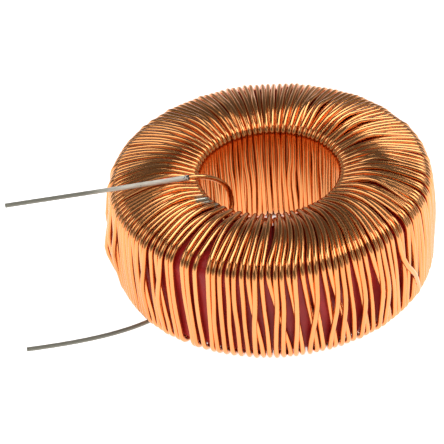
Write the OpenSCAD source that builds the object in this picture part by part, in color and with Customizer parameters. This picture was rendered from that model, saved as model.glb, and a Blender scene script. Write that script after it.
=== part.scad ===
// Toroidal inductor: a coated iron-powder ring wound with one enamelled wire.
// Millimetres. The ring's axis is Z and the part rests on z = 0.

/* [Core] */
// Outside diameter of the bare pressed ring
core_od = 32.6; // [30:0.1:36]
// Bore of the bare pressed ring
core_id = 16.7; // [16:0.1:20]
// Height of the bare pressed ring
core_h = 10.7; // [8:0.1:14]
// Rounding of the ring's four edges
core_edge_r = 1.5; // [0.8:0.1:2]
// Thickness of the baked coating all round the ring
coat_t = 0.2; // [0.1:0.05:0.4]

/* [Wire] */
// Diameter of the wire over its enamel
wire_d = 0.5; // [0.4:0.01:0.54]
// Times that the wire passes round the ring
turns = 150; // [90:1:151]
// Clearance from the wire to the coating and between stacked turns
wire_gap = 0.04; // [0.02:0.01:0.06]

/* [Winding] */
// Where the first turn starts, in degrees from +X
start_angle = 216; // [200:1:232]
// Part of the full circle that the turns cover, in degrees
wound_angle = 355; // [340:1:355]
// How far the turns bow off the ring's flats between its edges
bow = 0.1; // [0.05:0.01:0.3]
// Sideways lean of a turn on the outer wall
wall_lean = 0.55; // [0:0.05:1]
// Part of the room between turns on the outer wall that each pair takes up by closing
pair_close = 0.5; // [0:0.05:0.6]
// Part of that room over which the turns stray unevenly
stray = 0.25; // [0:0.05:0.3]
// Place of the slack turn round the ring, in degrees from +X
slack_at = 180; // [160:1:190]
// How far the slack turn stands off its neighbours
slack = 0.55; // [0:0.05:1]

/* [Leads] */
// Diameter of the stripped and tinned wire
lead_d = 0.45; // [0.35:0.01:0.5]
// Diameter where the solder is thickest, next to the enamel
solder_d = 0.58; // [0.5:0.01:0.6]
// Length of the upper lead's tapered stretch, which lies over the ring
upper_lead_over = 8.5; // [8:0.1:10]
// Length of the upper lead's free end
upper_lead_l = 10; // [4:0.5:25]
// Direction of the upper lead seen from above, in degrees from +X
upper_lead_angle = 188; // [178:0.5:196]
// Slope of the upper lead down from the rim, in degrees
upper_lead_droop = 0.8; // [0:0.1:1]
// Distance of the upper lead's start from the ring's axis
upper_lead_r = 9; // [8:0.1:10]
// Place of the upper lead's start round the ring, in degrees from +X
upper_lead_at = 193.6; // [190:0.2:200]
// Straight length of the lower tinned lead
lower_lead_l = 8; // [4:0.5:20]
// Direction of the lower lead's straight part, in degrees from +X
lower_lead_angle = 190.6; // [188:0.2:196]
// Radius of the lower lead's bend
lead_bend_r = 9; // [6:0.5:12]
// Part of the lower lead's bend that is tinned, in degrees
tinned_bend = 11; // [4:1:15]

/* [Hidden] */

wire_sides = 6;
exit_rings = 5;
rise_rings = 9;
smooth = 96;

// The wire has as much metal as a round one, so its corners stand a little further out.
wire_r = wire_d / 2 * sqrt(2 * PI / (wire_sides * sin(360 / wire_sides)));
wire_flat = wire_r * cos(180 / wire_sides);

coated_ro = core_od / 2 + coat_t;
coated_ri = core_id / 2 - coat_t;
coated_h = core_h + 2 * coat_t;
coated_edge_r = core_edge_r + coat_t;

// The turns stand off the flats by their bow and meet the ring at its rounded edges.
stand_off = wire_r + wire_gap + bow;
outer_r = coated_ro + stand_off;
inner_r = coated_ri - stand_off;
turn_bend = (2 - sqrt(2)) * (coated_edge_r + stand_off) + sqrt(2) * bow;

// In the bore there is no room side by side, so every second turn rides on its neighbours.
pitch = wound_angle / turns;
bore_spacing = inner_r * pitch * PI / 180;
layer_step = max(0, (2 * wire_flat + wire_gap - bore_spacing * cos(60)) / sin(60));
lift_kept = 0.8;

face_base = wire_r + layer_step;
coated_base = face_base + stand_off;
face_top = coated_base + coated_h + stand_off;
rim_top = face_top + layer_step + wire_r;
mid_height = coated_base + coated_h / 2;

function polar(r, a, z) = [r * cos(a), r * sin(a), z];
function unit(v) = v / norm(v);
function degrees(arc) = arc / outer_r * 180 / PI;

// On the outer wall the turns and the lower lead's exit spread evenly over the full circle,
// apart from a small stray and the closing up of each pair.
wall_pitch = 360 / (turns + 1);
wall_room = 2 * PI * outer_r / (turns + 1) - 2 * wire_flat - wire_gap;
function spread(t) = (t - turns / 2) * (wall_pitch - pitch);
function rides(t) = t % 2 == 0;
function pairing(t) = rides(t) ? -pair_close : pair_close;
function sway(t) = spread(t) + degrees(wall_room / 2 * (pairing(t) + stray * sin(137.5 * t)));
slack_turn = round((slack_at + 360 - start_angle) / pitch);
function loose(t) = t == slack_turn ? slack : 0;

// Corners of one turn, each as [radius, height, angle past the turn's start],
// from the top of the rim down the bore, out underneath and up the outer wall.
function corners(t) = let (
        lift = rides(t) ? layer_step : 0,
        low = rides(t) ? lift_kept * layer_step : 0,
        high = rides(t + 1) ? lift_kept * layer_step : 0,
        wall = inner_r - lift,
        cut = turn_bend + (2 - sqrt(2)) * lift,
        away = outer_r - turn_bend,
        up = 0.6 * pitch + sway(t) + degrees(wall_lean / 2),
        over = 0.7 * pitch + sway(t) - degrees(wall_lean / 2))
    [[wall + cut, face_top + lift, 0],
     [wall, face_top + lift - cut, 0.1 * pitch],
     [wall, face_base - lift, 0.35 * pitch],
     [away + 0.2 * loose(t), face_base - low, up],
     [outer_r + loose(t), face_base + turn_bend, up],
     [outer_r + 0.6 * loose(t), face_top - turn_bend, over],
     [away, face_top + high, over]];

function corner(t, k) = let (c = corners(t)[k])
    polar(c[0], start_angle + t * pitch + c[2], c[1]);

// The upper lead starts on the rim and runs straight out over the ring.
upper_start = polar(upper_lead_r, upper_lead_at, rim_top + wire_gap + solder_d / 2);
upper_dir = [cos(upper_lead_droop) * cos(upper_lead_angle),
             cos(upper_lead_droop) * sin(upper_lead_angle),
             -sin(upper_lead_droop)];

// The wire rises out of the bore in a free curve from the first turn to the upper lead.
rise_from = polar(inner_r - layer_step, start_angle, mid_height);
rise_up = polar(0.26 * inner_r, start_angle - 12, mid_height + 0.22 * coated_h);
rise_out = upper_start - 0.36 * inner_r * upper_dir;
function rise(u) = pow(1 - u, 3) * upper_start + 3 * u * pow(1 - u, 2) * rise_out
    + 3 * u * u * (1 - u) * rise_up + pow(u, 3) * rise_from;

// The last turn runs straight out under the ring, then bends into the lower lead.
exit_from = corner(turns, 3);
exit_dir = unit(exit_from - corner(turns, 2));
exit_angle = atan2(-exit_dir.y, -exit_dir.x) + 180;
bend_from = exit_from + turn_bend * exit_dir;
bend_centre = bend_from + lead_bend_r * [sin(exit_angle), -cos(exit_angle), 0];
function bend(a) = bend_centre + lead_bend_r * [-sin(a), cos(a), 0];
tinned_from = lower_lead_angle + tinned_bend;

// One path for the whole enamelled wire, from the upper lead to the lower lead.
wire_path = concat(
    [for (i = [0:rise_rings]) rise(i / rise_rings)],
    [for (k = [2:6]) corner(0, k)],
    [for (t = [1:turns - 1], k = [0:6]) corner(t, k)],
    [for (k = [0:2]) corner(turns, k)],
    [for (i = [0:exit_rings]) bend(exit_angle + (tinned_from - exit_angle) * i / exit_rings)]);

// A ring of corners round each point of a path, mitred where the path bends and square at its ends.
function tube_points(path, first_dir, last_dir) = [
    for (i = [0:len(path) - 1]) let (
            at_end = i == 0 ? first_dir : i == len(path) - 1 ? last_dir : undef,
            before = is_undef(at_end) ? unit(path[i] - path[i - 1]) : at_end,
            after = is_undef(at_end) ? unit(path[i + 1] - path[i]) : at_end,
            ahead = unit(before + after),
            round_ring = [-path[i].y, path[i].x, 0],
            side = unit(round_ring - (round_ring * ahead) * ahead),
            up = cross(ahead, side) * 2 / norm(before + after))
        for (k = [0:wire_sides - 1]) let (a = (k + 0.5) * 360 / wire_sides)
            path[i] + wire_r * (cos(a) * side + sin(a) * up)];

function tube_faces(rings) = concat(
    [[for (k = [0:wire_sides - 1]) k]],
    [for (i = [0:rings - 2], k = [0:wire_sides - 1])
        let (a = i * wire_sides, n = (k + 1) % wire_sides)
        for (face = [[a + k, a + wire_sides + k, a + wire_sides + n], [a + k, a + wire_sides + n, a + n]])
            face],
    [[for (k = [wire_sides - 1:-1:0]) (rings - 1) * wire_sides + k]]);

// A ring of rectangular section with rounded edges.
module rounded_ring(ri, ro, h, edge) {
    rotate_extrude($fn = smooth) {
        translate([ri, edge]) square([ro - ri, h - 2 * edge]);
        translate([ri + edge, 0]) square([ro - ri - 2 * edge, h]);
        for (r = [ri + edge, ro - edge], z = [edge, h - edge])
            translate([r, z]) circle(r = edge, $fn = smooth / 2);
    }
}

module core() {
    color("dimgray")
        translate([0, 0, coated_base + coat_t])
            rounded_ring(core_id / 2, core_od / 2, core_h, core_edge_r);
}

module core_coating() {
    color("firebrick")
        difference() {
            translate([0, 0, coated_base])
                rounded_ring(coated_ri, coated_ro, coated_h, coated_edge_r);
            translate([0, 0, coated_base + coat_t])
                rounded_ring(core_id / 2, core_od / 2, core_h, core_edge_r);
        }
}

module winding() {
    color("peru")
        polyhedron(tube_points(wire_path, -upper_dir, polar(1, tinned_from, 0)),
            tube_faces(len(wire_path)));
}

module upper_lead() {
    color("silver")
        translate(upper_start)
            rotate([0, 90 + upper_lead_droop, upper_lead_angle]) {
                cylinder(d1 = solder_d, d2 = lead_d, h = upper_lead_over, $fn = smooth / 2);
                translate([0, 0, upper_lead_over])
                    cylinder(d = lead_d, h = upper_lead_l, $fn = smooth / 2);
            }
}

module lower_lead() {
    color("silver")
        translate(bend_centre)
            rotate([0, 0, lower_lead_angle + 90]) {
                rotate_extrude(angle = tinned_bend, $fn = smooth)
                    translate([lead_bend_r, 0]) circle(d = lead_d, $fn = smooth / 2);
                translate([lead_bend_r, 0, 0])
                    rotate([90, 0, 0])
                        cylinder(d = lead_d, h = lower_lead_l, $fn = smooth / 2);
            }
}

core();
core_coating();
winding();
upper_lead();
lower_lead();
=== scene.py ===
import math
import random

import bpy
from mathutils import Euler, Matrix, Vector


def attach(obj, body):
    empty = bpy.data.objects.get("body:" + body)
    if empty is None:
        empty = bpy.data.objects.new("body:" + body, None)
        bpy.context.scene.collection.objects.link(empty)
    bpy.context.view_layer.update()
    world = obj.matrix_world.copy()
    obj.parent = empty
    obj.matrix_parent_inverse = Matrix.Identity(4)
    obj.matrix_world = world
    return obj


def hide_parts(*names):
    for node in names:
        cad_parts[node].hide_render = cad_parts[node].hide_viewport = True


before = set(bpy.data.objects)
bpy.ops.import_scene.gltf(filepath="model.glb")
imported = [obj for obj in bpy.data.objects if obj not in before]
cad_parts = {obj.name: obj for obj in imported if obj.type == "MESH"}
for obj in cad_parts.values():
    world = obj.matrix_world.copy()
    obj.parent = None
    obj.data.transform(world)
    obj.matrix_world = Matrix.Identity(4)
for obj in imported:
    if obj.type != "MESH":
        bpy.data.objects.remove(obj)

scene = bpy.context.scene
mm = 0.001
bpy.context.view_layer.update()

view = {
    "place": (0.15, -136.04, 111.74),     # mm
    "turn": (52.015, 3.980, -0.782),      # degrees about X, Y and Z
    "lens": 131.43,                       # mm
    "sensor": 36,                         # mm
    "clip": (0.005, 20),                  # m
}
cameraData = bpy.data.cameras.new("camera")
cameraData.sensor_width = view["sensor"]
cameraData.lens = view["lens"]
cameraData.clip_start, cameraData.clip_end = view["clip"]
camera = bpy.data.objects.new("camera", cameraData)
camera.location = Vector(view["place"]) * mm
camera.rotation_euler = Euler([math.radians(v) for v in view["turn"]], "XYZ")
scene.collection.objects.link(camera)
scene.camera = camera
print("camera set")


def setSockets(node, values):
    # Each value is a plain one or the output of another node.
    for name, value in values.items():
        if isinstance(value, bpy.types.NodeSocket):
            node.id_data.links.new(value, node.inputs[name])
        else:
            node.inputs[name].default_value = value


def newMaterial(name):
    mat = bpy.data.materials.new(name)
    mat.use_nodes = True
    tree = mat.node_tree
    tree.nodes.clear()
    shader = tree.nodes.new("ShaderNodeBsdfPrincipled")
    setSockets(tree.nodes.new("ShaderNodeOutputMaterial"), {"Surface": shader.outputs[0]})
    coords = tree.nodes.new("ShaderNodeTexCoord").outputs["Object"]
    return mat, tree, shader, coords


def addNoise(tree, coords, scale, detail):
    node = tree.nodes.new("ShaderNodeTexNoise")
    setSockets(node, {"Vector": coords, "Scale": scale, "Detail": detail})
    return node.outputs["Fac"]


def addRamp(tree, value, stops):
    node = tree.nodes.new("ShaderNodeValToRGB")
    elements = node.color_ramp.elements
    while len(elements) > 1:
        elements.remove(elements[-1])
    elements[0].position = stops[0][0]
    elements[0].color = (*stops[0][1], 1)
    for place, colour in stops[1:]:
        elements.new(place).color = (*colour, 1)
    setSockets(node, {0: value})
    return node.outputs["Color"]


def addMath(tree, operation, *values):
    node = tree.nodes.new("ShaderNodeMath")
    node.operation = operation
    setSockets(node, dict(enumerate(values)))
    return node.outputs[0]


def addDistance(tree, coords, middle):
    node = tree.nodes.new("ShaderNodeVectorMath")
    node.operation = "DISTANCE"
    setSockets(node, {0: coords, 1: Vector(middle) * mm})
    return node.outputs["Value"]


def addFade(tree, value, start, end, low=0.0, high=1.0):
    node = tree.nodes.new("ShaderNodeMapRange")
    setSockets(node, {"Value": value, "From Min": start, "From Max": end, "To Min": low, "To Max": high})
    return node.outputs[0]


def addMix(tree, share, one, two):
    node = tree.nodes.new("ShaderNodeMix")
    node.data_type = "RGBA"
    setSockets(node, {0: share, 6: one, 7: two})
    return node.outputs[2]


def addTone(tree):
    # The tone that a wire's path carries along it, from 0 to 1.
    node = tree.nodes.new("ShaderNodeAttribute")
    node.attribute_name = "turnTone"
    return node.outputs["Fac"]


def grainTree():
    # The fine unevenness of a surface: how high it is, and the normal that this gives.
    tree = bpy.data.node_groups.new("fineGrain", "ShaderNodeTree")
    face = tree.interface
    face.new_socket("Coordinates", in_out="INPUT", socket_type="NodeSocketVector")
    for name in ("Scale", "Detail", "Strength", "Depth"):
        face.new_socket(name, in_out="INPUT", socket_type="NodeSocketFloat")
    face.new_socket("Height", in_out="OUTPUT", socket_type="NodeSocketFloat")
    face.new_socket("Normal", in_out="OUTPUT", socket_type="NodeSocketVector")
    given = tree.nodes.new("NodeGroupInput").outputs
    height = addNoise(tree, given["Coordinates"], given["Scale"], given["Detail"])
    bump = tree.nodes.new("ShaderNodeBump")
    setSockets(bump, {"Strength": given["Strength"], "Distance": given["Depth"], "Height": height})
    setSockets(tree.nodes.new("NodeGroupOutput"), {"Height": height, "Normal": bump.outputs[0]})
    return tree


fineGrain = grainTree()


def addGrain(tree, coords, values):
    node = tree.nodes.new("ShaderNodeGroup")
    node.node_tree = fineGrain
    setSockets(node, {"Coordinates": coords, **values})
    return node.outputs["Height"], node.outputs["Normal"]


enamel = {
    "copper": (0.93, 0.40, 0.135),
    "dark": (0.86, 0.34, 0.100),
    "clouds": (420, 2),              # scale and detail
    "cloudShare": 0.5,               # how much the clouds count
    "toneShare": 0.5,                # how much each turn's own tone counts
    "grain": {"Scale": 1500, "Detail": 3, "Strength": 0.05, "Depth": 0.00002},    # depths in metres
    "roughness": (0.15, 0.24),
    "coat": {"Coat Weight": 0.5, "Coat Roughness": 0.08, "Coat IOR": 1.5},
    "patchColour": (0.52, 0.48, 0.38),    # colour of two small patches on the wire
    "patchPlaces": [((-6.9, -5.05, 12.6), 0.85), ((-5.2, -5.9, 12.45), 0.55)],    # place and size, mm
    "patchEdge": (1.25, 0.7),       # where a patch starts and is full, in sizes
}


def enamelledCopper():
    mat, tree, shader, coords = newMaterial("enamelledCopper")
    clouds = addNoise(tree, coords, *enamel["clouds"])
    ownTone = addMath(tree, "MULTIPLY", addTone(tree), enamel["toneShare"])
    shade = addMath(tree, "MULTIPLY_ADD", clouds, enamel["cloudShare"], ownTone)
    copper = addRamp(tree, shade, [(0.15, enamel["dark"]), (0.75, enamel["copper"])])
    # Two small grey patches colour the wire by the bore's edge, near the upper lead.
    patched = 0.0
    for middle, size in enamel["patchPlaces"]:
        start, full = (share * size * mm for share in enamel["patchEdge"])
        near = addFade(tree, addDistance(tree, coords, middle), start, full)
        patched = addMath(tree, "MAXIMUM", patched, near)
    height, normal = addGrain(tree, coords, enamel["grain"])
    setSockets(shader, {
        "Base Color": addMix(tree, patched, copper, (*enamel["patchColour"], 1)),
        "Roughness": addFade(tree, height, 0.0, 1.0, *enamel["roughness"]),
        "Normal": normal,
        "Metallic": 1.0,
        **enamel["coat"],
    })
    return mat


coatingLook = {
    "red": (0.55, 0.022, 0.020),
    "deep": (0.40, 0.012, 0.010),
    "clouds": (300, 2),
    "grain": {"Scale": 900, "Detail": 1, "Strength": 0.25, "Depth": 0.00004},
    "gloss": {"Roughness": 0.42, "Specular IOR Level": 0.35},
}


def redCoating():
    mat, tree, shader, coords = newMaterial("redCoating")
    clouds = addNoise(tree, coords, *coatingLook["clouds"])
    setSockets(shader, {
        "Base Color": addRamp(tree, clouds, [(0.3, coatingLook["deep"]), (0.7, coatingLook["red"])]),
        "Normal": addGrain(tree, coords, coatingLook["grain"])[1],
        **coatingLook["gloss"],
    })
    return mat


ironLook = {
    "dark": (0.05, 0.05, 0.052),
    "light": (0.19, 0.19, 0.195),
    "grain": {"Scale": 2600, "Detail": 4, "Strength": 0.4, "Depth": 0.00003},
    "gloss": {"Metallic": 0.6, "Roughness": 0.62},
}


def pressedIron():
    mat, tree, shader, coords = newMaterial("pressedIron")
    height, normal = addGrain(tree, coords, ironLook["grain"])
    setSockets(shader, {
        "Base Color": addRamp(tree, height, [(0.35, ironLook["dark"]), (0.65, ironLook["light"])]),
        "Normal": normal,
        **ironLook["gloss"],
    })
    return mat


tinLook = {
    "bright": (1.0, 0.94, 0.83),
    "grey": (0.86, 0.79, 0.66),
    "dull": (0.29, 0.28, 0.225),     # wire without solder
    "burnt": (0.07, 0.055, 0.045),
    "solderTone": 0.15,              # a lead's tone is 0 on dull wire, this on solder, and more where burnt
    "grain": {"Scale": 900, "Detail": 3, "Strength": 0.3, "Depth": 0.00004},
    "specks": (5200, 1),
    "soot": (0.86, 1.0),             # tone and specks together, where soot starts and is full
    "gloss": {"Metallic": 0.12, "Roughness": 0.42},
}


def tinnedSolder():
    mat, tree, shader, coords = newMaterial("tinnedSolder")
    tone = addTone(tree)
    height, normal = addGrain(tree, coords, tinLook["grain"])
    solder = addRamp(tree, height, [(0.3, tinLook["grey"]), (0.7, tinLook["bright"])])
    covered = addFade(tree, tone, 0.0, tinLook["solderTone"])
    tinned = addMix(tree, covered, (*tinLook["dull"], 1), solder)
    start, full = tinLook["soot"]
    sooty = addMath(tree, "ADD", tone, addNoise(tree, coords, *tinLook["specks"]))
    soot = addRamp(tree, sooty, [(start, (0, 0, 0)), (full, (1, 1, 1))])
    setSockets(shader, {
        "Base Color": addMix(tree, soot, tinned, (*tinLook["burnt"], 1)),
        "Normal": normal,
        **tinLook["gloss"],
    })
    return mat


copperMat = enamelledCopper()
coatingMat = redCoating()
ironMat = pressedIron()
solderMat = tinnedSolder()
print("materials made")


def wireTree():
    # Sweeps a round section along a path, as thick at each point as the path's swell says.
    tree = bpy.data.node_groups.new("sweptWire", "GeometryNodeTree")
    face = tree.interface
    for name, kind in [("Path", "Geometry"), ("Radius", "Float"), ("Sides", "Int"), ("Steps", "Int"),
                       ("Finish", "Material")]:
        face.new_socket(name, in_out="INPUT", socket_type="NodeSocket" + kind)
    face.new_socket("Wire", in_out="OUTPUT", socket_type="NodeSocketGeometry")
    node = tree.nodes.new
    link = tree.links.new
    given, out = node("NodeGroupInput"), node("NodeGroupOutput")
    line = node("GeometryNodeMeshToCurve")
    smooth = node("GeometryNodeCurveSplineType")
    smooth.spline_type = "CATMULL_ROM"
    fine = node("GeometryNodeSetSplineResolution")
    swell = node("GeometryNodeInputNamedAttribute")
    swell.data_type = "FLOAT"
    swell.inputs["Name"].default_value = "swell"
    section = node("GeometryNodeCurvePrimitiveCircle")
    sweep = node("GeometryNodeCurveToMesh")
    sweep.inputs["Fill Caps"].default_value = True
    soft = node("GeometryNodeSetShadeSmooth")
    whole = node("GeometryNodeRealizeInstances")
    finish = node("GeometryNodeSetMaterial")
    link(given.outputs["Path"], line.inputs["Mesh"])
    link(line.outputs[0], smooth.inputs["Curve"])
    link(smooth.outputs[0], fine.inputs["Geometry"])
    link(given.outputs["Steps"], fine.inputs["Resolution"])
    link(given.outputs["Sides"], section.inputs["Resolution"])
    link(given.outputs["Radius"], section.inputs["Radius"])
    link(fine.outputs[0], sweep.inputs["Curve"])
    link(section.outputs[0], sweep.inputs["Profile Curve"])
    link(swell.outputs["Attribute"], sweep.inputs["Scale"])
    link(sweep.outputs[0], soft.inputs["Geometry"])
    link(soft.outputs[0], whole.inputs[0])
    link(whole.outputs[0], finish.inputs["Geometry"])
    link(given.outputs["Finish"], finish.inputs["Material"])
    link(finish.outputs[0], out.inputs[0])
    return tree


sweptWire = wireTree()


def sweepWire(name, path, look, material, tones, swells):
    mesh = bpy.data.meshes.new(name + "Path")
    mesh.from_pydata([p * mm for p in path], [(i, i + 1) for i in range(len(path) - 1)], [])
    for attribute, values in [("turnTone", tones), ("swell", swells)]:
        mesh.attributes.new(attribute, "FLOAT", "POINT").data.foreach_set("value", values)
    guide = bpy.data.objects.new(name + "Guide", mesh)
    scene.collection.objects.link(guide)
    nodes = guide.modifiers.new("sweep", "NODES")
    nodes.node_group = sweptWire
    sockets = {s.name: s.identifier for s in sweptWire.interface.items_tree if s.in_out == "INPUT"}
    nodes[sockets["Radius"]] = look["wire"] / 2 * mm
    nodes[sockets["Sides"]] = look["sides"]
    nodes[sockets["Steps"]] = look["steps"]
    nodes[sockets["Finish"]] = material
    solid = bpy.data.meshes.new_from_object(guide.evaluated_get(bpy.context.evaluated_depsgraph_get()))
    solid.name = name
    bpy.data.objects.remove(guide)
    piece = bpy.data.objects.new(name, solid)
    scene.collection.objects.link(piece)
    return piece


coil = {
    "wire": 0.54,                # mm over the enamel
    "sides": 12,
    "steps": 1,                  # of the swept wire, for each step of its path
    "turns": 150,
    "seed": 5,
    "boreStart": 219.4,          # degrees from +X where the wire comes up to the upper lead
    "wallStart": 215.2,          # degrees from +X of the first turn on the outer wall
    # Radius, height and bend of the wire's middle at each corner of a turn, mm.
    "rim": (8.34, 11.57, 0.48),
    "toe": (8.66, 1.54, 0.80),
    "foot": (15.35, 2.32, 1.45),
    "shoulder": (15.30, 11.02, 1.35),
    "bendSteps": 6,              # round each corner
    "runSteps": (6, 5, 8, 8),    # down the bore, underneath, up the wall and over the top
    "start": 4.2,                # mm past the rim's bend where the first turn starts
    "end": 0.5,                  # mm past the toe's bend where the last turn ends
    "borePlaces": (2.5, 6.0),    # mm down the bore where chance moves a turn
    "boreDrift": (0.15, 0.25, 0.35),    # turns that it moves on by there and at the toe
    # Heights in mm. A pair is the least and the most that chance adds.
    "layer": 0.42,               # rise of the second layer in the bore
    "boreLift": (-0.08, 0.14),
    "overlap": 0.5,              # rise of a turn that lies over others on the wall
    "wallBow": 0.18,
    "wallBowRange": (-0.08, 0.1),
    "dome": 0.75,                # rise of the turns over the top, past a straight line
    "domeRange": (-0.06, 0.08),
    "edgeLift": (-0.05, 0.08),
    "slackTurns": {139: 0.65},   # how far a loose turn stands off the wall
    # Order of the turns on the wall. Room is in turns.
    "gaps": {7: 0.9, 8: -0.25, 9: 0.4, 10: 1.05, 11: -0.2},      # extra room after a turn
    "bundled": (40, 60),         # turns that lie in bundles
    "bundleSizes": [2, 2, 3, 3, 4],
    "bundleRoom": (-0.26, -0.16),
    "roomBetween": (0.15, 0.65),
    "plainRoom": 0.12,           # either way, outside the bundles
    "calmer": 0.6,               # share of it that is left past them
    "wallShares": (0.67, 0.3),   # what is left of a turn's lean low and high on the wall
    "crossing": 41,              # a turn that lies slantwise over its neighbours on the wall
    "crossingShares": (0.55, 0.05),
    "slips": {                   # places that a turn's foot is out of order
        1: 1, 2: -1, 4: 1, 5: -1, 17: 1, 18: -1, 20: 2, 21: -1, 22: -1, 23: 1, 24: -1,
        25: 1, 26: 1, 27: -2, 28: 1, 29: 2, 30: -2, 31: -1, 33: 1, 34: -1,
        36: 2, 37: -1, 38: -1, 41: 4, 42: -1, 43: -1, 44: -1, 45: -1,
    },
    "slipsFrom": 66,             # from this turn on they come by chance,
    "slipsEnd": 4,               # up to so many turns before the last
    "slipChances": [(0.22, (1, -1)), (0.30, (2, -1, -1)), (0.37, (1, 1, -2))],
    "lean": [                    # turn, and degrees from shoulder to foot
        (0, 0.5), (8, 1.5), (10, 0.9), (11, -0.6), (14, 0.0), (17, 0.8), (22, 1.2),
        (30, 1.1), (35, 2.4), (40, 2.4), (60, 1.0), (100, 0.5), (151, 0.5),
    ],
    # Order of the turns on top.
    "lipShifts": {19: -0.1, 20: -0.22, 21: 0.22, 22: 0.1},       # where turns part at the lip, in turns
    "topLean": [                 # turn, and degrees from lip to shoulder
        (0, 3.7), (5, 3.5), (12, -0.5), (18, -2.0), (22, -4.6), (31, -6.8), (45, -5.5),
        (60, -3.6), (75, -1.2), (90, 0.4), (105, 0.2), (120, 2.0), (135, 4.0), (151, 3.7),
    ],
    "strays": 0.16,              # share of the turns that lie over a neighbour on top
    "strayRange": (45, 118),     # turns that may do so
    "strayTurn": (0.4, 0.8),     # degrees that such a turn moves, further out and further in
    "strayRise": (0.22, 0.12),   # mm that it rises, likewise
    # Degrees either way that chance moves a turn, from place to place.
    "sway": {"foot": 0.12, "edge": 0.12, "lip": 0.35, "boreHigh": 1.0, "boreMiddle": 1.8,
             "wall": 0.3, "topOut": 0.25, "topIn": 0.35},
    "endTone": 0.4,              # tone of the stretches between the turns and the leads
}
chance = random.Random(coil["seed"])


def eitherWay(amount):
    return chance.uniform(-amount, amount)


def onPolar(r, angle, z):
    a = math.radians(angle)
    return Vector((r * math.cos(a), r * math.sin(a), z))


def between(keys, t):
    # The value at t on straight lines through keys (place, value).
    for (t0, v0), (t1, v1) in zip(keys, keys[1:]):
        if t <= t1:
            return v0 + (v1 - v0) * (t - t0) / (t1 - t0)
    return keys[-1][1]


def smoothAt(keys, places):
    # The values at rising places on a smooth curve through keys (place, value).
    slopes = []
    for k in range(len(keys)):
        a, b = keys[max(k - 1, 0)], keys[min(k + 1, len(keys) - 1)]
        slopes.append((b[1] - a[1]) / (b[0] - a[0]))
    values, k = [], 0
    for s in places:
        while k < len(keys) - 2 and s > keys[k + 1][0]:
            k += 1
        (s0, v0), (s1, v1) = keys[k], keys[k + 1]
        d = s1 - s0
        u = (s - s0) / d
        values.append(v0 * (1 + 2 * u) * (1 - u) ** 2 + slopes[k] * d * u * (1 - u) ** 2
                      + v1 * u * u * (3 - 2 * u) + slopes[k + 1] * d * u * u * (u - 1))
    return values


def ringLoop():
    # One trip round the ring's section. A point is (r, z, outward r, outward z, distance so far),
    # and the marks say where each corner starts, has its middle and ends.
    corners = [coil[name] for name in ("rim", "toe", "foot", "shoulder")]
    nextCorners = corners[1:] + corners[:1]
    facing = []                       # outward direction of the straight run after each corner
    for (r0, z0, bend0), (r1, z1, bend1) in zip(corners, nextCorners):
        away = math.hypot(r1 - r0, z1 - z0)
        heading = math.atan2(z1 - z0, r1 - r0)
        facing.append(heading - math.acos((bend0 - bend1) / away))
    loop, marks, s = [], [], 0.0
    for k, (r, z, bend) in enumerate(corners):
        first, last = facing[k - 1], facing[k]
        while last < first:
            last += 2 * math.pi
        arc = bend * (last - first)
        steps = coil["bendSteps"]
        for i in range(steps + 1):
            a = first + (last - first) * i / steps
            outR, outZ = math.cos(a), math.sin(a)
            loop.append((r + bend * outR, z + bend * outZ, outR, outZ, s + arc * i / steps))
        marks.append((s, s + arc / 2, s + arc))
        s += arc
        outR, outZ = math.cos(last), math.sin(last)
        endR, endZ = loop[-1][:2]
        r1, z1, bend1 = nextCorners[k]
        nextR, nextZ = r1 + bend1 * outR, z1 + bend1 * outZ
        flat = math.hypot(nextR - endR, nextZ - endZ)
        for i in range(1, coil["runSteps"][k]):
            u = i / coil["runSteps"][k]
            loop.append((endR + (nextR - endR) * u, endZ + (nextZ - endZ) * u, outR, outZ, s + flat * u))
        s += flat
    return loop, marks, s


def wallSlots():
    # Where each turn stands on the wall, in degrees. Some turns lie in bundles with room between.
    firstBundled, lastBundled = coil["bundled"]
    slot, slots, left = 0.0, [], 1
    for t in range(coil["turns"] + 2):
        slots.append(slot)
        left -= 1
        if t in coil["gaps"]:
            room = coil["gaps"][t]
        elif t < firstBundled or t > lastBundled:
            room = eitherWay(coil["plainRoom"]) * (1 if t < firstBundled else coil["calmer"])
        elif left > 0:
            room = chance.uniform(*coil["bundleRoom"])
        else:
            left = chance.choice(coil["bundleSizes"])
            room = chance.uniform(*coil["roomBetween"])
        slot += 1 + room
    scale = 360 / slots[coil["turns"]]
    return [coil["wallStart"] + scale * s for s in slots]


def allSlips():
    slips = dict(coil["slips"])
    t = coil["slipsFrom"]
    while t < coil["turns"] - coil["slipsEnd"]:
        roll = chance.random()
        for most, places in coil["slipChances"]:
            if roll < most:
                slips.update(zip(range(t, t + len(places)), places))
                t += len(places)
                break
        t += 1
    return slips


def evened(slots, t, reach=4):
    # The wall's angle near a turn, without its small unevenness.
    turns = coil["turns"]
    near = [slots[k % turns] + 360 * (k // turns) for k in range(t - reach, t + reach + 1)]
    return sum(near) / len(near)


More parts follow.
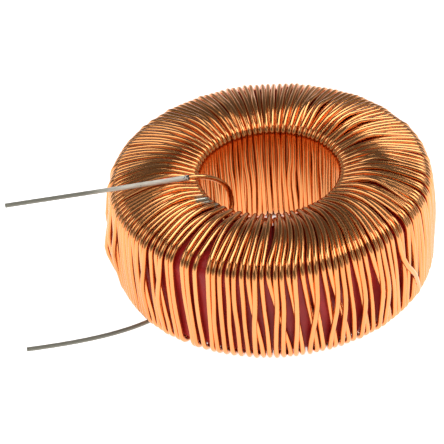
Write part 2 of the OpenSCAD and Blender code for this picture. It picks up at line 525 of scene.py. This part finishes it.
def coilPath():
    loop, marks, length = ringLoop()
    (_, lip, lip1), (toe0, toe, toe1), (foot0, foot, foot1), (edge0, edge, edge1) = marks
    wall, face = edge0 - foot1, length - edge1
    slots, slips = wallSlots(), allSlips()
    turns, sway = coil["turns"], coil["sway"]
    pitch = 360 / turns
    boreHigh, boreMiddle = coil["borePlaces"]
    driftHigh, driftMiddle, driftToe = (share * pitch for share in coil["boreDrift"])
    firstStray, lastStray = coil["strayRange"]
    (turnOut, turnIn), (riseOut, riseIn) = coil["strayTurn"], coil["strayRise"]
    lips = [evened(slots, t - 1) - between(coil["topLean"], t) + pitch * coil["lipShifts"].get(t, 0)
            for t in range(turns + 2)]
    crossed = range(coil["crossing"], coil["crossing"] + coil["slips"][coil["crossing"]] + 1)
    turnKeys, riseKeys = [], []       # places along the wire, with degrees round the ring and mm off it
    for t in range(turns + 1):
        base = t * length
        high = coil["layer"] if t % 2 == 0 else 0.0
        nextHigh = coil["layer"] - high
        low = high
        if t == 0:                    # the first turn comes down over the others, and ends at their level
            high, low = 2 * coil["layer"], 0.0
        bore = lips[t] if t else coil["boreStart"]
        slip = slips.get(t, 0)
        # A turn that goes back lies over the others, but the crossing turn lies over those it passes.
        over = coil["overlap"] if (slip < 0) != (t in crossed) else 0.0
        lowShare, highShare = coil["crossingShares" if t == coil["crossing"] else "wallShares"]
        footAt = slots[min(t + slip, len(slots) - 1)] + between(coil["lean"], t + slip)
        footAt += eitherWay(sway["foot"])
        edgeAt = slots[t] + eitherWay(sway["edge"])
        lipAt = bore + eitherWay(sway["lip"])
        stray = chance.choice([-1, 1]) if chance.random() < coil["strays"] else 0
        if not firstStray <= t <= lastStray:
            stray = 0
        slack = coil["slackTurns"].get(t, 0)
        bow = coil["wallBow"] + chance.uniform(*coil["wallBowRange"])
        dome = coil["dome"] + chance.uniform(*coil["domeRange"])
        edgeLift = chance.uniform(*coil["edgeLift"])
        back, ahead = footAt - edgeAt, lips[t + 1] - edgeAt
        # Each key is a place along the turn, most of them a share of one of its runs, and a value there.
        turnKeys += [
            (base + lip, lipAt),
            (base + lip1 + boreHigh, lipAt + driftHigh + eitherWay(sway["boreHigh"])),
            (base + lip1 + boreMiddle, bore + driftMiddle + eitherWay(sway["boreMiddle"])),
            (base + toe, bore + driftToe),
            (base + foot, footAt),
            (base + foot1 + 0.35 * wall, edgeAt + lowShare * back + eitherWay(sway["wall"])),
            (base + foot1 + 0.7 * wall, edgeAt + highShare * back + eitherWay(sway["wall"])),
            (base + edge, edgeAt),
            (base + edge1 + 0.24 * face, edgeAt + 0.5 * ahead + turnOut * stray + eitherWay(sway["topOut"])),
            (base + edge1 + 0.6 * face, edgeAt + 0.88 * ahead + turnIn * stray + eitherWay(sway["topIn"])),
        ]
        riseKeys += [
            (base + lip, high),
            (base + (lip1 + toe0) / 2, high + chance.uniform(*coil["boreLift"])),
            (base + toe, low),
            (base + (toe1 + foot0) / 2, min(coil["overlap"], 0.4 * low + over)),
            (base + foot, 0.1 * over + 0.05 * slack),
            (base + foot1 + 0.32 * wall, 0.8 * bow + 0.75 * over + 0.8 * slack),
            (base + foot1 + 0.55 * wall, bow + over + 0.2 * slack),
            (base + foot1 + 0.8 * wall, 0.7 * bow + 0.55 * over),
            (base + edge, 0.1 * over + edgeLift),
            (base + edge1 + 0.25 * face, 0.75 * dome + 0.5 * edgeLift + 0.1 * nextHigh),
            (base + edge1 + 0.5 * face, dome + 0.35 * nextHigh + riseOut * abs(stray)),
            (base + edge1 + 0.78 * face, 0.74 * dome + 0.8 * nextHigh + riseIn * abs(stray)),
        ]
    firstS = lip1 + coil["start"]
    lastS = turns * length + toe1 + coil["end"]
    stations = [(t * length + point[4], point, t) for t in range(turns + 1) for point in loop]
    stations = [station for station in stations if firstS <= station[0] <= lastS]
    places = [s for s, _, _ in stations]
    path = []
    for (_, (r, z, outR, outZ, _), _), a, h in zip(stations, smoothAt(turnKeys, places),
                                                   smoothAt(riseKeys, places)):
        path.append(onPolar(r + h * outR, a, z + h * outZ))
    turnTones = [chance.random() for _ in range(turns + 2)]
    return path, [turnTones[t] for _, _, t in stations]


def bezier(a, b, c, d, count):
    return [a * (1 - u) ** 3 + b * 3 * u * (1 - u) ** 2 + c * 3 * u * u * (1 - u) + d * u ** 3
            for u in (k / count for k in range(count + 1))]


upperLead = {
    "wire": 0.45,                      # mm
    "sides": 20,
    "steps": 2,
    "start": (-8.24, -2.25, 13.62),    # mm
    "far": (-27.0, -4.75, 13.40),
    "count": 60,                       # of the path's steps
    "solder": 0.26,                    # how much thicker it starts, as a share
    "solderSteps": 26,                 # where this has run out
    "ripple": (0.02, 1.9),             # share of the thickness, and pace
    "burnt": (0.62, 0.16),             # tone at its start, and how much less at each step
    "bare": (21, 34),                  # steps where its solder thins out and ends
}
lowerLead = {
    "wire": 0.45,
    "sides": 20,
    "steps": 2,
    "leaves": (-13.2, -8.7, 0.30),
    "turns": (-17.2, -11.4, 0.48),     # where its bend would have its corner
    "far": (-26.0, -12.42, 0.55),
    "count": 40,
    "sharpness": 0.7,                  # of its bend, from 0 to 1
    "ripple": (0.015, 1.7),
}
# How the wire rises out of the bore to the upper lead, and leaves under the ring to the lower one, in mm.
tail = {"reach": 1.94, "turns": (-1.87, 1.78, 10.37), "count": 16}
exitRun = {"reach": 4.0, "arrives": 3.0, "count": 14}

path, tones = coilPath()
leadStart, leadEnd = Vector(upperLead["start"]), Vector(upperLead["far"])
leadDir = (leadEnd - leadStart).normalized()
rise = bezier(leadStart, leadStart - leadDir * tail["reach"],
              Vector(tail["turns"]), path[0], tail["count"])[:-1]
exitDir = path[-1] - path[-2]
exitDir.z = 0          # it leaves level under the ring
exitDir.normalize()
lowerStart, lowerTurn, lowerEnd = (Vector(lowerLead[name]) for name in ("leaves", "turns", "far"))
lowerDir = (lowerTurn - lowerStart).normalized()
outRun = bezier(path[-1], path[-1] + exitDir * exitRun["reach"],
                lowerStart - lowerDir * exitRun["arrives"], lowerStart, exitRun["count"])[1:]
wirePath = rise + path + outRun
wireTones = [coil["endTone"]] * len(rise) + tones + [coil["endTone"]] * len(outRun)
coilWire = sweepWire("coilWire", wirePath, coil, copperMat, wireTones, [1.0] * len(wirePath))
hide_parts("winding")
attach(coilWire, "root")
print("coil wound:", len(coilWire.data.polygons), "faces")


def rippled(look, k):
    share, pace = look["ripple"]
    return share * math.sin(pace * k)


upperSteps = range(upperLead["count"] + 1)
upperPath = [leadStart.lerp(leadEnd, k / upperLead["count"]) for k in upperSteps]
upperSwell = [1 + upperLead["solder"] * max(0, 1 - k / upperLead["solderSteps"]) + rippled(upperLead, k)
              for k in upperSteps]
burnt, lessBurnt = upperLead["burnt"]
thins, ends = upperLead["bare"]
solderTone = tinLook["solderTone"]
upperTones = [max(burnt - lessBurnt * k, min(solderTone, solderTone * (ends - k) / (ends - thins)), 0.0)
              for k in upperSteps]
upper = sweepWire("upperLead", upperPath, upperLead, solderMat, upperTones, upperSwell)
sharpness = lowerLead["sharpness"]
lowerPath = bezier(lowerStart, lowerStart.lerp(lowerTurn, sharpness), lowerEnd.lerp(lowerTurn, sharpness),
                   lowerEnd, lowerLead["count"])
lowerSwell = [1 + rippled(lowerLead, k) for k in range(len(lowerPath))]
lower = sweepWire("lowerLead", lowerPath, lowerLead, solderMat, [0.0] * len(lowerPath), lowerSwell)
for piece, node in [(upper, "upper_lead"), (lower, "lower_lead")]:
    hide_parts(node)
    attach(piece, "root")
print("leads made")

for node, material in [("core", ironMat), ("core_coating", coatingMat)]:
    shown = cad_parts[node]
    shown.data.materials.clear()
    shown.data.materials.append(material)
print("ring dressed")

floorLook = {
    "half": 1.5,                 # m
    "sink": 0.02,                # mm under the part
    "glow": 1.0,
    "bore": (7.7, 8.3),          # the painted shadow under the ring starts here, mm from the axis
    "skirt": (13.4, 15.2),       # and ends here
    "shade": (0, -7, 0),         # middle of the painted shade inside the bore, mm
    "fade": (3.5, 9.5),          # it fades between these distances, mm
    "matt": {"Base Color": (0.6, 0.6, 0.6, 1), "Roughness": 0.9, "Specular IOR Level": 0.1},
}
half, level = floorLook["half"], -floorLook["sink"] * mm
floorMesh = bpy.data.meshes.new("floor")
floorMesh.from_pydata([(x * half, y * half, level) for x, y in [(-1, -1), (1, -1), (1, 1), (-1, 1)]],
                      [], [(0, 1, 2, 3)])
floor = bpy.data.objects.new("floor", floorMesh)
scene.collection.objects.link(floor)


def paleFloor():
    # It glows softly, except where its glow is dimmed into a painted shadow under the ring and a painted
    # shade inside the bore.
    mat, tree, shader, coords = newMaterial("paleFloor")

    def fade(distance, name, low, high):
        start, end = floorLook[name]
        return addFade(tree, distance, start * mm, end * mm, low, high)

    fromAxis = addDistance(tree, coords, (0, 0, 0))
    fromShade = addDistance(tree, coords, floorLook["shade"])
    # Painted shade: the glow fades out near the front of the bore and under the ring.
    inside = addMath(tree, "MULTIPLY", fade(fromAxis, "bore", 1, 0), fade(fromShade, "fade", 0, 1))
    lit = addMath(tree, "MAXIMUM", inside, fade(fromAxis, "skirt", 0, 1))
    setSockets(shader, {
        "Emission Strength": addMath(tree, "MULTIPLY", lit, floorLook["glow"]),
        "Emission Color": (1, 1, 1, 1),
        **floorLook["matt"],
    })
    return mat


floor.data.materials.append(paleFloor())

lamps = [
    # name, middle (mm), width, height (mm), power (W)
    ("topSoftbox", (320, 110, 520), 420, 470, 1.8),
    ("frontFill", (320, -450, 430), 400, 480, 0.35),
    ("leftFill", (-340, -40, 450), 420, 400, 0.8),
]
lampTarget = (0, 0, 6)           # mm
for name, place, wide, tall, power in lamps:
    data = bpy.data.lights.new(name, "AREA")
    data.shape = "RECTANGLE"
    data.size, data.size_y = wide * mm, tall * mm
    data.energy = power
    lamp = bpy.data.objects.new(name, data)
    lamp.location = Vector(place) * mm
    aim = Vector(lampTarget) * mm - lamp.location
    lamp.rotation_euler = aim.to_track_quat("-Z", "Y").to_euler()
    scene.collection.objects.link(lamp)

# A pale room: how high each part is, from 0 at eye level to 1 overhead, and how bright.
roomLook = {"horizon": (0.0, 0.5), "low": (0.17, 0.4), "wall": (0.4, 0.09), "ceiling": (1.0, 0.09)}
world = bpy.data.worlds.new("studio")
scene.world = world
world.use_nodes = True
air = world.node_tree
height = air.nodes.new("ShaderNodeSeparateXYZ")
setSockets(height, {0: air.nodes.new("ShaderNodeTexCoord").outputs["Generated"]})
grey = addRamp(air, height.outputs["Z"], [(place, (bright,) * 3) for place, bright in roomLook.values()])
setSockets(air.nodes["Background"], {"Color": grey})
scene.view_settings.view_transform = "Standard"
scene.view_settings.look = "None"
print("floor and light set")
